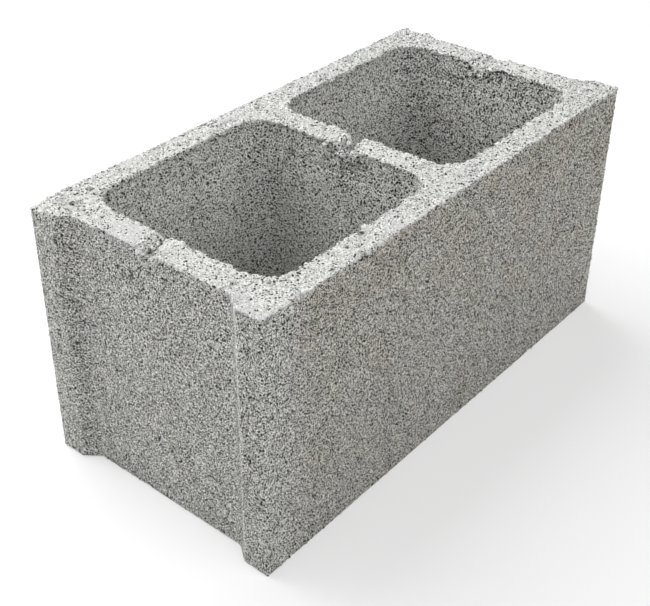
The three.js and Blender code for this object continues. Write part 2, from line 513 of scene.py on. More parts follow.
# Deep holes in the broken places, beside them and in the top, in mm: the middle (x, y, z) and the radius.
# They are sunk into the skin and painted black as shade.
HOLES = np.array([
    (-177.5, 7.5, 183, 1.4), (-174.5, 6.5, 184.5, 1.6), (-183.5, 8, 182, 1.2),
    (-186, -4.5, 186.5, 1.0), (-185, -1, 179.5, 0.9), (-186, 16, 168.5, 1.5),
    (-186, 0.5, 175.5, 1.2), (-186, -11.5, 176, 1.4), (-186, 27.5, 169.5, 1.3),
    (-8.5, -3, 182, 1.5), (-9.5, 5, 184, 1.4), (-10, 0, 179, 1.3),
    (-10, -13.5, 181.5, 1.3), (-10, 0, 167, 1.2), (-9.5, -20, 179, 1.3),
    (-9.5, -9, 172.5, 1.2), (-10.5, -1, 173.5, 1.1), (-1.5, 4.5, 182, 1.2),
    (-9.5, 10, 188.5, 0.9), (-9, 9.5, 178, 1.1), (-11, -10, 178.5, 1.1),
    (165, 15.5, 184, 1.6), (165.5, 16.5, 177, 1.2), (165.5, 21.5, 173, 1.3),
    (165, 26, 187, 1.1), (165.5, -3.5, 179.5, 1.1), (165.5, -13, 182, 1.1),
    (177, 10, 186, 1.2), (164.5, 0, 184.5, 0.9), (-175.5, 72, 189.5, 1.5),
    (-175.5, 78.5, 187.5, 1.3), (-178.5, 58, 189.5, 1.0), (-176.5, 65, 189.5, 1.0),
    (-182.5, 74, 189.5, 1.0), (-184.5, 78, 189.5, 0.7), (-185.5, 38, 188.5, 0.8),
    (-149.5, 74.5, 181.5, 1.2), (-107.5, -82, 189.5, 1.4), (-89, -78.5, 189, 1.2),
]) * MM


def hole_share(points):
    """1 at the middle of a deep hole, falling to 0 at 1.3 times its radius."""
    share = np.zeros(len(points))
    for *middle, radius in HOLES:
        share = np.maximum(share, 1 - smoothstep(0.6 * radius, 1.3 * radius, distance_to(points, middle)))
    return share


def broken_share(points):
    """1 within the broken places, falling to 0 at their ragged edge."""
    share = np.zeros(len(points))
    ragged = 0.25 * rough_noise(points, 6 * MM, seed=111)
    for place in BROKEN:
        distance = distance_to(points, place[:3], place[3:])
        share = np.maximum(share, 1 - smoothstep(0.65, 1.0, distance + ragged))
    return share


SMEAR_HEIGHT = 0.35 * MM


def crown_relief(points, normals, smear):
    """What the crown adds to the skin's relief: lumps on the top, higher ones along the rims, pits and thin
    cracks, and in the broken places rubble and deeper pits. Smeared paste lies flat and higher."""
    upward = smoothstep(0.2, 0.8, normals[:, 2])
    rim = 1 - smoothstep(2.5 * MM, 6 * MM, mouth_distance(points[:, :2]))
    rim *= smoothstep(HEIGHT - 12 * MM, HEIGHT - 4 * MM, points[:, 2])
    lumps = spots(points, 4.2 * MM, share=0.6, radii=(1.1 * MM, 2.6 * MM), seed=121, power=0.7)
    pits = spots(points, 3.4 * MM, share=0.5, radii=(0.7 * MM, 1.5 * MM), seed=131, power=1.0)
    crack = cracks(points, 9 * MM, width=0.9 * MM, seed=141)
    rough = (0.3 * upward + 0.4 * rim) * lumps - 0.8 * upward * pits - 0.7 * MM * upward * crack
    rough = rough * (1 - smear) + SMEAR_HEIGHT * smear
    rubble = spots(points, 4.4 * MM, share=0.9, radii=(1.5 * MM, 3.0 * MM), seed=151, power=0.6)
    deep = spots(points, 5.0 * MM, share=0.7, radii=(1.2 * MM, 2.3 * MM), seed=161, power=0.7)
    broken = broken_share(points)
    return rough * (1 - broken) + broken * (rubble - 1.4 * deep - BROKEN_DEPTH)


# ---- Meshes ----------------------------------------------------------


def mesh_object(name, points, faces, smooth):
    """A mesh object from arrays of points and of faces with as many corners each; smooth holds for all
    faces or one by one."""
    sides = faces.shape[1]
    mesh = bpy.data.meshes.new(name)
    mesh.vertices.add(len(points))
    mesh.loops.add(faces.size)
    mesh.polygons.add(len(faces))
    mesh.vertices.foreach_set("co", points.astype(np.float32).ravel())
    mesh.loops.foreach_set("vertex_index", faces.astype(np.int32).ravel())
    mesh.polygons.foreach_set("loop_start", np.arange(0, faces.size, sides, dtype=np.int32))
    mesh.polygons.foreach_set("use_smooth", np.full(len(faces), smooth))
    mesh.update(calc_edges=True)
    mesh.validate()
    obj = bpy.data.objects.new(name, mesh)
    bpy.context.scene.collection.objects.link(obj)
    return obj


def repeated(faces, corner_count, copies):
    """The faces of a small shape's copies, whose corners follow one another in the mesh."""
    return (faces + corner_count * np.arange(copies)[:, None, None]).reshape(-1, faces.shape[1])


def held_below(values, limit):
    """Values pressed softly against a limit: limit - s ln(1 + exp((limit - value) / s)). It changes only
    those within a few s of it."""
    return limit - MOULD_SOFTNESS * np.logaddexp(0, (limit - values) / MOULD_SOFTNESS)


def inside_mould(points):
    """Points held within the block's box and off the recessed ends, as the mould holds them: past the
    slope's foot, the limit on |x| grows from the recess to the flange's end in step with |y|."""
    share = np.clip((np.abs(points[:, 1]) - SLOPE_FOOT) / FLANGE_SLOPE, 0, 1)
    limit = RECESS_FACE + share * RECESS_DEPTH
    x = np.sign(points[:, 0]) * held_below(np.abs(points[:, 0]), limit)
    y = np.sign(points[:, 1]) * held_below(np.abs(points[:, 1]), HALF_WIDTH)
    z = held_below(-held_below(-points[:, 2], 0), HEIGHT)
    return np.column_stack([x, y, z])


# ---- Materials -------------------------------------------------------


class Nodes:
    """A small helper that empties a node tree, adds nodes to it and links them."""

    def __init__(self, tree):
        self.tree = tree
        tree.nodes.clear()

    def add(self, kind, inputs=None, **properties):
        node = self.tree.nodes.new(kind)
        for name, value in properties.items():
            setattr(node, name, value)
        for name, value in (inputs or {}).items():
            if isinstance(value, bpy.types.NodeSocket):
                self.tree.links.new(value, node.inputs[name])
            else:
                node.inputs[name].default_value = value
        return node

    def math(self, operation, first, second=0.0, third=0.0):
        return self.add("ShaderNodeMath", {0: first, 1: second, 2: third}, operation=operation).outputs[0]

    def times(self, first, second):
        return self.math("MULTIPLY", first, second)

    def plus(self, value, share, amount):
        """The value with that amount of the share added to it."""
        return self.math("MULTIPLY_ADD", share, amount, value)

    def scaled(self, value, *shares):
        """The value times 1 + amount * share, for each share and its amount in turn."""
        for share, amount in shares:
            value = self.times(value, self.plus(1.0, share, amount))
        return value

    def vector(self, operation, first, second, third=(0, 0, 0)):
        inputs = {0: first, 1: second, 2: third}
        return self.add("ShaderNodeVectorMath", inputs, operation=operation).outputs[0]

    def ramp(self, value, low, high, low_to=0.0, high_to=1.0):
        inputs = {"Value": value, "From Min": low, "From Max": high, "To Min": low_to, "To Max": high_to}
        return self.add("ShaderNodeMapRange", inputs, interpolation_type="SMOOTHSTEP").outputs["Result"]

    def mix(self, share, first, second, blend="MIX"):
        inputs = {0: share, 6: first, 7: second}
        return self.add("ShaderNodeMix", inputs, data_type="RGBA", blend_type=blend).outputs[2]

    def tinted(self, colour, *tints):
        """The colour multiplied by each tint in turn, as far as its share says."""
        for share, tint in tints:
            colour = self.mix(share, colour, self.mix(1.0, colour, (*tint, 1), "MULTIPLY"))
        return colour

    def attribute(self, name):
        return self.add("ShaderNodeAttribute", attribute_name=name).outputs["Fac"]

    def noise(self, vector, scale, detail=3.0, roughness=0.6, output="Fac"):
        inputs = {"Vector": vector, "Scale": scale, "Detail": detail, "Roughness": roughness}
        return self.add("ShaderNodeTexNoise", inputs).outputs[output]

    def cells(self, vector, scale):
        return self.add("ShaderNodeTexVoronoi", {"Vector": vector, "Scale": scale, "Randomness": 1.0})

    def random_of_cell(self, voronoi):
        """Three random numbers for each cell, unlike its own colour not tied to where its point lies."""
        white = self.add("ShaderNodeTexWhiteNoise", {"Vector": voronoi.outputs["Position"]})
        return self.add("ShaderNodeSeparateColor", {"Color": white.outputs["Color"]}).outputs

    def pits(self, vector, scale, share, largest):
        """Round holes in that share of the cells, of 0.55 to 1 times the largest radius, and the bright
        lips just outside them, which are painted highlights."""
        voronoi = self.cells(vector, scale)
        chances = self.random_of_cell(voronoi)
        present = self.ramp(self.math("ADD", chances["Red"], share), 1.0, 1.05)
        radius = self.times(present, self.times(self.plus(0.55, chances["Green"], 0.45), largest))
        inside = self.math("SUBTRACT", radius, voronoi.outputs["Distance"])
        lips = self.times(self.ramp(inside, -0.30, -0.12), self.ramp(inside, -0.02, -0.05))
        return self.ramp(inside, -0.02, 0.03), lips


def node_material(name):
    """A new material, and the helper that fills its node tree."""
    material = bpy.data.materials.new(name)
    material.use_nodes = True
    return material, Nodes(material.node_tree)


# What the concrete reads at each point: how far, from 0 to 1, it is smeared paste, a face that looks up,
# a cell's wall, lit with painted light, the -Y face, stained and darkened with painted shade towards the
# top, a broken place, a recess's arris, painted as a bright highlight, or a deep hole, painted black as
# shade, and the tone it adds, which carries painted light and shade too.
CONCRETE_READS = ("smear", "sky", "cell", "front", "broken", "arris", "hole", "tone")

# How many cells of each pattern there are along a millimetre.
LARGE_PORES = 0.54
SMALL_PORES = 1.15
FINE_GRAINS = 1.6
BUMP_HEIGHT = 0.3 * MM
# How far the patterns are jittered each way, from end to end, and where the green blotches' noise is
# read, both in millimetres.
JITTER = (0.7, 0.7, 0.7)
GREEN_SHIFT = (137, 137, 137)
# Between these two places along +X the grain gets coarser and lighter.
FAR_FROM, FAR_TO = -150 * MM, 200 * MM

DARK_GREY = (0.02, 0.02, 0.019, 1)
LIGHT_GREY = (0.714, 0.72, 0.672, 1)
PALE_GREY = (0.93, 0.93, 0.90, 1)
FLECK = (0.95, 0.95, 0.92, 1)
# Near-black painted into the pores and deep holes: painted shade.
PORE_SHADE = (0.02, 0.019, 0.017, 1)
BROWN_BLOTCH = (0.975, 0.925, 0.90)
GREEN_BLOTCH = (0.965, 0.975, 0.92)
FRONT_DARK_AND_SHADE_TINT = (0.87, 0.86, 0.835)
SKY_TINT = (0.992, 0.99, 1.015)
SMEAR_TINT = (0.998, 0.99, 1.012)


def concrete_pores(n, mm, warped, far, at):
    """How dark the pores are, painted as the shade that falls into them, and their bright lips, painted
    highlights. The large pores are in about 0.7 of the cells of a coarse pattern, fewer of them on the top,
    where less shade is painted, and none on an arris, where a bright line is painted, and the small ones
    in about 0.2 of the cells of a finer one. Both crowd together and thin out in patches of 14 mm. The deep
    holes join them, painted black as shade."""
    crowding = n.ramp(n.noise(mm, 0.07), 0.3, 0.7, 0.83, 1.1)
    crowding = n.scaled(crowding, (at["smear"], -0.4), (at["cell"], 0.08), (at["broken"], 0.15))
    share = n.scaled(n.times(crowding, n.plus(0.73, at["sky"], -0.20)), (at["arris"], -1.0))
    largest = n.plus(n.plus(0.49, far, 0.06), at["sky"], -0.03)
    large, large_lips = n.pits(warped, LARGE_PORES, share, largest)
    small, small_lips = n.pits(warped, SMALL_PORES, n.times(crowding, 0.22), 0.55)
    pores = n.math("MAXIMUM", large, n.times(small, 0.85))
    return n.math("MAXIMUM", pores, at["hole"]), n.math("MAXIMUM", large_lips, small_lips)


def concrete_tone(n, mm, grain, lips, far, at):
    """How light the concrete is, from -0.5 for the dark grey to 0.5 for the light one: each fine grain's
    own tone, the pores' lips as painted highlights, patches of 17 mm and the far end's, all of it stronger
    or weaker by the kind of place, and then what that place adds, painted light on the cells' walls among
    it."""
    tone = n.plus(-0.85, n.ramp(grain, 0.15, 0.85), 1.22)
    for share, amount in ((lips, 0.6), (n.noise(mm, 0.06), 0.10), (far, 0.10)):
        tone = n.plus(tone, share, amount)
    contrast = n.plus(n.plus(1.0, at["front"], 0.15), at["cell"], 0.35)
    contrast = n.scaled(contrast, (at["smear"], -0.5), (at["sky"], -0.56), (at["arris"], -0.5), (far, 0.40))
    # The cells' walls are made lighter: painted light inside the cells.
    tone = n.plus(n.times(tone, contrast), at["cell"], 0.485)
    tone = n.math("ADD", tone, n.plus(at["tone"], at["smear"], -0.07))
    return n.plus(tone, at["sky"], 0.315)


def concrete_colour(n, mm, tone, flecks, pores, at):
    """The tone's grey with its pale flecks, tinted in brown and green blotches on the -Y face, darkened over
    that face and more towards the top with painted shade, and tinted by the kind of place, and the pores
    in it, painted near-black as shade."""
    level = n.add("ShaderNodeMapRange", {"Value": tone, "From Min": -0.5, "From Max": 0.5}).outputs["Result"]
    grey = n.mix(level, DARK_GREY, LIGHT_GREY)
    grey = n.mix(n.ramp(tone, 0.65, 1.25), grey, PALE_GREY)
    grey = n.mix(n.scaled(flecks, (at["sky"], -0.4)), grey, FLECK)
    front = at["front"]
    brown = n.times(front, n.ramp(n.noise(mm, 0.03), 0.32, 0.66))
    elsewhere = n.vector("ADD", mm, GREEN_SHIFT)
    green = n.times(front, n.ramp(n.noise(elsewhere, 0.06), 0.45, 0.72))
    # Brown and green stains, then the -Y face darkened, more towards the top as painted shade.
    colour = n.tinted(grey, (brown, BROWN_BLOTCH), (green, GREEN_BLOTCH), (front, FRONT_DARK_AND_SHADE_TINT))
    colour = n.tinted(colour, (at["sky"], SKY_TINT), (at["smear"], SMEAR_TINT))
    # The pores and deep holes are painted near-black: painted shade.
    return n.mix(n.times(pores, 0.97), colour, PORE_SHADE)


def concrete_material(name):
    """Grey dry-cast concrete: fine grains of several tones in a matrix full of pores painted dark as shade,
    stained on the -Y face and darkened there with painted shade towards the top. All patterns use object
    coordinates in millimetres, jittered by up to half of JITTER."""
    material, n = node_material(name)
    place = n.add("ShaderNodeTexCoord").outputs["Object"]
    mm = n.add("ShaderNodeVectorMath", {0: place, "Scale": 1 / MM}, operation="SCALE").outputs[0]
    jitter = n.vector("SUBTRACT", n.noise(mm, 0.9, 1.0, 0.5, "Color"), (0.5, 0.5, 0.5))
    warped = n.vector("MULTIPLY_ADD", jitter, JITTER, mm)
    far = n.ramp(n.add("ShaderNodeSeparateXYZ", {"Vector": place}).outputs["X"], FAR_FROM, FAR_TO)
    at = {name: n.attribute(name) for name in CONCRETE_READS}
    fine = n.cells(warped, FINE_GRAINS)
    grains = n.random_of_cell(fine)

    pores, lips = concrete_pores(n, mm, warped, far, at)
    tone = concrete_tone(n, mm, grains["Red"], lips, far, at)
    # Pale flecks: bright grains, and the pores' lips as painted highlights.
    flecks = n.math("MAXIMUM", n.ramp(grains["Green"], 0.90, 0.92), n.times(lips, 0.6))
    colour = concrete_colour(n, mm, tone, flecks, pores, at)

    height = n.plus(n.ramp(fine.outputs["Distance"], 0.0, 0.8, 1.0, 0.0), pores, -2.0)
    bump = n.add("ShaderNodeBump", {"Height": height, "Distance": BUMP_HEIGHT, "Strength": 1.0})
    matt = {"Normal": bump.outputs["Normal"], "Roughness": 0.95, "Specular IOR Level": 0.2}
    shader = n.add("ShaderNodeBsdfPrincipled", {"Base Color": colour, **matt})
    n.add("ShaderNodeOutputMaterial", {"Surface": shader.outputs["BSDF"]})
    return material


concrete = concrete_material("dry_cast_concrete")


def concrete_piece(name, points, faces, smooth, **reads):
    """A piece of concrete from its points and faces, with what the concrete reads at each point."""
    piece = mesh_object(name, points, faces, smooth)
    piece.data.materials.append(concrete)
    for read, values in reads.items():
        attribute = piece.data.attributes.new(read, "FLOAT", "POINT")
        attribute.data.foreach_set("value", np.full(len(points), values, np.float32))
    return piece


# ---- The cement skin -------------------------------------------------

# Plates of paste smeared smooth on the top: the corners of each, in mm.
PLATES = [
    [(-187, 36), (-182, 41), (-177, 42), (-171, 38), (-167.5, 28), (-167, 18), (-170, 13.5), (-188, 13.5)],
    [(-184, -64), (-195, -73), (-196, -96), (-187, -96), (-184, -91), (-190, -87), (-189, -81), (-183, -74)],
    [(-75, -92), (-73, -86), (-66, -84.5), (-63, -89), (-66, -95), (-73, -95.5)],
    [(46, 84), (58, 81), (70, 86), (66, 92), (50, 91)],
    [(-38, 85), (-22, 83), (-6, 87), (-12, 92), (-34, 91)],
    [(-128, 88), (-118, 84), (-104, 88), (-110, 93), (-122, 93)],
]


def plate_depth(xy, corners):
    """How far plan points lie inside a plate, by the nearest of its edges; negative outside it."""
    corners = np.array(corners) * MM
    nearest = np.full(len(xy), np.inf)
    inside = np.zeros(len(xy), bool)
    for start, end in zip(corners, np.roll(corners, -1, axis=0)):
        along = end - start
        share = np.clip(((xy - start) @ along) / (along @ along), 0, 1)
        nearest = np.minimum(nearest, np.linalg.norm(xy - start - share[:, None] * along, axis=1))
        rises = (start[1] > xy[:, 1]) != (end[1] > xy[:, 1])
        crossing = start[0] + (xy[:, 1] - start[1]) * along[0] / (along[1] if along[1] else 1.0)
        inside ^= rises & (xy[:, 0] < crossing)
    return np.where(inside, nearest, -nearest)


def smeared(points):
    """How smooth the paste is: 1 on a plate, 0 elsewhere, by an edge 0.4 mm wide that wanders by 0.6 mm."""
    ragged = 0.6 * MM * rough_noise(points, 5 * MM, seed=91)
    share = np.zeros(len(points))
    for corners in PLATES:
        depth = plate_depth(points[:, :2], corners) + ragged
        share = np.maximum(share, smoothstep(-0.2 * MM, 0.2 * MM, depth))
    return share * smoothstep(HEIGHT - 5 * MM, HEIGHT - 2.5 * MM, points[:, 2])


def sky_share(normals):
    """1 where the skin looks up, and 0 where it looks sideways or down."""
    return smoothstep(0.4, 0.9, normals[:, 2])


def arris_highlight_share(points):
    """1 along the -Y arris of each recess, falling to 0 over 1.2 mm, and 0.33 along the +Y one: a bright
    line painted as a highlight.
    """
    distance = distance_to(np.abs(points[:, :2]), (HALF_LENGTH, SLOPE_ARRIS))
    return (1 - smoothstep(0.6 * MM, 1.8 * MM, distance)) * np.where(points[:, 1] < 0, 1.0, 0.33)


def front_stain_and_shade_share(points, normals):
    """How far the -Y face is stained and darkened: from 0.5 at the bed to 1 at the top, and nothing near
    its -X edge. The darkening that grows towards the top is painted shade.
    """
    on_face = smoothstep(0.5, 0.8, -normals[:, 1]) * (points[:, 1] < CELL_CORNER - HALF_WIDTH)
    along = smoothstep(12 * MM, 45 * MM, points[:, 0] + HALF_LENGTH)
    # Stronger towards the top: painted shade.
    return on_face * along * (0.5 + 0.5 * points[:, 2] / HEIGHT)


def slope_shade_share(points):
    """1 on the recesses' slopes, which are darkened with painted shade, and 0 elsewhere."""
    x, y = np.abs(points[:, :2]).T
    past_foot = smoothstep(SLOPE_FOOT, SLOPE_FOOT + 2 * MM, y)
    short_of_arris = 1 - smoothstep(SLOPE_ARRIS - MM, SLOPE_ARRIS, y)
    return past_foot * short_of_arris * smoothstep(RECESS_FACE - 3 * MM, RECESS_FACE - MM, x)


def cell_share(points):
    """1 on the cells' walls, whose cement is more open and which are lightened with painted light, and 0
    elsewhere.
    """
    on_wall = 1 - smoothstep(2.5 * MM, 4 * MM, mouth_distance(points[:, :2]))
    return on_wall * (1 - smoothstep(HEIGHT - 6 * MM, HEIGHT - 3 * MM, points[:, 2]))


def shaded_share(points, normals):
    """1 on the far cell's wall that faces -X, falling towards the near cell's, and 0 elsewhere: where shade
    is painted.
    """
    facing = smoothstep(0.5, 0.8, -normals[:, 0])
    return cell_share(points) * facing * smoothstep(-80 * MM, 150 * MM, points[:, 0])


def web_share(points, normals):
    """1 on top of the webs and in their troughs, which are lighter than the face shells, and 0 elsewhere."""
    on_web = 1 - smoothstep(CELL_SIDE - 12 * MM, CELL_SIDE - 2 * MM, np.abs(points[:, 1]))
    return on_web * smoothstep(0.15, 0.5, normals[:, 2]) * (points[:, 2] > HEIGHT / 2)


# Places made lighter, or darker ones: the middle (x, y, z) and the reach each way, in mm, and the tone
# added. In the troughs they partly lighten walls that lie in shade: painted light.
PALE_AND_PAINTED_LIGHT_PLACES = [
    (5, 8, 185, 9, 8, 8, 0.8),
    (-8.5, -6, 182.5, 4, 6, 4, -0.4),
    (-177, 8, 185.5, 14, 7, 6, 0.75),
    (-170, 2, 187, 6, 9, 4, 0.3),
    (171, 8, 187, 9, 14, 5, 0.5),
    (165.5, -5, 186, 3, 7, 2.5, 0.4),
    (168, 12, 187, 4, 4, 4, 0.5),
    (-192, 88, 189, 9, 9, 5, 0.12),
    (177, -30, 190, 10, 45, 6, 0.12),
]


def pale_and_painted_light(points):
    """How much the places lighten or darken the tone, in the troughs partly as painted light: each adds its
    tone in its middle, and less and less up to its reach.
    """
    total = np.zeros(len(points))
    for *box, tone in PALE_AND_PAINTED_LIGHT_PLACES:
        middle, reach = np.array(box).reshape(2, 3) * MM
        total += tone * (1 - smoothstep(0.4, 1.0, distance_to(points, middle, reach)))
    return total


# The depth of a deep hole, and what each kind of place adds to the tone: the arris a painted highlight,
# the slopes and the far cell's wall painted shade.
HOLE_DEPTH = 1.2 * MM
# A bright line painted along the recesses' arrises: painted highlight.
ARRIS_HIGHLIGHT_TONE = 0.42
# Darkens the recesses' slopes: painted shade.
SLOPE_SHADE_TONE = -0.14
BROKEN_TONE = 0.12
WEB_TONE = 0.02
# Darkens the far cell's wall that faces -X: painted shade.
SHADED_TONE = -0.25


def skin_object(name, points, faces, smear, more_relief=None):
    """A piece of the cement skin: its points moved out along their normals by the relief. Gives the
    piece, its points and their normals."""
    normals = vertex_normals(points, faces)
    height = relief(points) * (1 - 0.5 * smear)
    if more_relief:
        height += more_relief(points, normals, smear)
    holes = hole_share(points + normals * height[:, None])
    skin = inside_mould(points + normals * (height - HOLE_DEPTH * holes)[:, None])
    arris, broken = arris_highlight_share(points), broken_share(points)
    web = web_share(points, normals) * (1 - smear)
    tone = ARRIS_HIGHLIGHT_TONE * arris + SLOPE_SHADE_TONE * slope_shade_share(points) + BROKEN_TONE * broken
    # The places listed add pale tones and, in the troughs, painted light.
    tone += WEB_TONE * web + pale_and_painted_light(points) + SHADED_TONE * shaded_share(points, normals)
    piece = concrete_piece(
        name,
        skin,
        faces,
        ~joint_faces(points, faces),
        tone=tone,
        hole=holes,
        smear=smear,
        sky=sky_share(normals),
        front=front_stain_and_shade_share(points, normals),
        cell=cell_share(points),
        broken=broken,
        arris=arris,
    )
    return piece, skin, normals


body_points, body_faces = both_halves(body_grid)
crown_points, crown_faces = both_halves(crown_grid)
body, _, _ = skin_object("cement_body", body_points, body_faces, np.zeros(len(body_points)))
crown, crown_skin, crown_normals = skin_object(
    "worn_crown", crown_points, crown_faces, smeared(crown_points), crown_relief
)

# ---- Crumbs, rubble and lumps: rounded bits of paste -----------------

CRUMBS_ON_RIMS = 380
CRUMBS_ON_EDGES = 360
CRUMBS_AT_TROUGHS = 420
CRUMBS_SCATTERED = 300
RUBBLE_COUNT = 450

GOLDEN = (1 + math.sqrt(5)) / 2
ICOSAHEDRON = np.array([
    (-1, GOLDEN, 0), (1, GOLDEN, 0), (-1, -GOLDEN, 0), (1, -GOLDEN, 0),
    (0, -1, GOLDEN), (0, 1, GOLDEN), (0, -1, -GOLDEN), (0, 1, -GOLDEN),
    (GOLDEN, 0, -1), (GOLDEN, 0, 1), (-GOLDEN, 0, -1), (-GOLDEN, 0, 1),
])
ICOSAHEDRON_FACES = np.array([
    (0, 11, 5), (0, 5, 1), (0, 1, 7), (0, 7, 10), (0, 10, 11),
    (1, 5, 9), (5, 11, 4), (11, 10, 2), (10, 7, 6), (7, 1, 8),
    (3, 9, 4), (3, 4, 2), (3, 2, 6), (3, 6, 8), (3, 8, 9),
    (4, 9, 5), (2, 4, 11), (6, 2, 10), (8, 6, 7), (9, 8, 1),
])


def ball():
    """An icosahedron with each face cut into four, its corners pushed out to radius 1."""
    edges = np.sort(ICOSAHEDRON_FACES[:, [0, 1, 1, 2, 2, 0]].reshape(-1, 2), axis=1)
    pairs, middle = np.unique(edges, axis=0, return_inverse=True)
    corners = unit(np.concatenate([ICOSAHEDRON, ICOSAHEDRON[pairs].mean(axis=1)]))
    ab, bc, ca = (middle.reshape(-1, 3) + len(ICOSAHEDRON)).T
    a, b, c = ICOSAHEDRON_FACES.T
    cut = [(a, ab, ca), (b, bc, ab), (c, ca, bc), (ab, bc, ca)]
    return corners, np.concatenate([np.column_stack(face) for face in cut])


BALL, BALL_FACES = ball()


def ball_piece(name, middle, shape, dents, tone, **reads):
    """Balls as one piece: round each middle its own shape, whose points noise moves in or out by a share
    of their reach. The dents are that share, the noise's size and its seed."""
    share, size, seed = dents
    middle = middle[:, None]
    noise = rough_noise((middle + shape).reshape(-1, 3), size, seed, layers=2).reshape(*shape.shape[:2], 1)
    points = (middle + shape * (1 + share * noise)).reshape(-1, 3)
    faces = repeated(BALL_FACES, len(BALL), len(middle))
    return concrete_piece(name, inside_mould(points), faces, True, tone=np.repeat(tone, len(BALL)), **reads)


def both_ends(xy):
    """Plan points of the +X half, followed by their mirror images in the -X half."""
    return np.concatenate([xy, xy * (-1, 1)])


def crumb_places(rng):
    """Plan points for the crumbs, with their radii: round the cells' rims, along the outside, over the webs
    round their troughs, most of them within 7 mm of y = 3 mm, and scattered over the rest of the top."""
    outside, mouth = half_plan(BODY_STEP)
    rim, outer = both_ends(mouth), both_ends(outside)
    edge = both_ends(outside[outside[:, 0] != 0])
    towards = unit(outer - rim)

    pick = rng.integers(len(rim), size=CRUMBS_ON_RIMS)
    rim_radius = (1.0 + 1.7 * rng.random(CRUMBS_ON_RIMS) ** 1.5) * MM
    at_rim = rim[pick] + towards[pick] * (rim_radius * rng.uniform(0.5, 1.6, CRUMBS_ON_RIMS))[:, None]
    pick = rng.integers(len(edge), size=CRUMBS_ON_EDGES)
    edge_radius = (0.8 + 1.2 * rng.random(CRUMBS_ON_EDGES)) * MM
    at_edge = edge[pick] * (1 - edge_radius / np.linalg.norm(edge[pick], axis=1))[:, None]
    webs = np.array([-1, 0, 1])[rng.integers(3, size=CRUMBS_AT_TROUGHS)] * (CELL_FAR + END_WEB / 2)
    across = rng.uniform(-0.5, 0.5, CRUMBS_AT_TROUGHS) * 21 * MM
    at_trough = np.column_stack([webs + across, (3 + 7 * rng.normal(size=CRUMBS_AT_TROUGHS)) * MM])
    trough_radius = (0.8 + 1.8 * rng.random(CRUMBS_AT_TROUGHS) ** 2) * MM
    pick = rng.integers(len(rim), size=CRUMBS_SCATTERED)
    share = rng.uniform(0.15, 0.85, CRUMBS_SCATTERED)[:, None]
    scattered = rim[pick] * share + outer[pick] * (1 - share)
    scattered_radius = (1.0 + 2.4 * rng.random(CRUMBS_SCATTERED) ** 2) * MM
    places = np.concatenate([at_rim, at_edge, at_trough, scattered])
    return places, np.concatenate([rim_radius, edge_radius, trough_radius, scattered_radius])


def crumb_piece(name, seed):
    """Crumbs of paste on the top: balls stretched by 0.75 to 1.4 each way, and 0.7 times that upwards,
    turned at random, their middles under the skin by 0.1 to 0.5 of their radius. They keep clear of the
    plates and the deep holes."""
    rng = np.random.default_rng(seed)
    places, radius = crumb_places(rng)
    middle = at_level(places, top_level(places) - SKIN_DEPTH)
    keep = smeared(at_level(places, HEIGHT)) < 0.5
    for *place, hole in HOLES:
        keep &= distance_to(middle, place) > hole + 1.5 * radius
    middle, radius = middle[keep], radius[keep]
    count = len(middle)
    middle[:, 2] -= radius * rng.uniform(0.1, 0.5, count)
    stretch = rng.uniform(0.75, 1.4, (count, 1, 3)) * (1, 1, 0.7)
    angle = rng.uniform(0, 2 * math.pi, count)
    turned = np.stack([np.cos(angle), np.sin(angle), -np.sin(angle), np.cos(angle)], axis=1)
    shape = BALL * stretch
    shape[..., :2] = np.einsum("nkc,ncd->nkd", shape[..., :2], turned.reshape(-1, 2, 2))
    shape *= radius[:, None, None]
    tone = 0.08 * rng.normal(size=count) + 0.06 + pale_and_painted_light(middle)
    return ball_piece(name, middle, shape, dents=(0.2, 2.2 * MM, 95), tone=tone, sky=1.0)


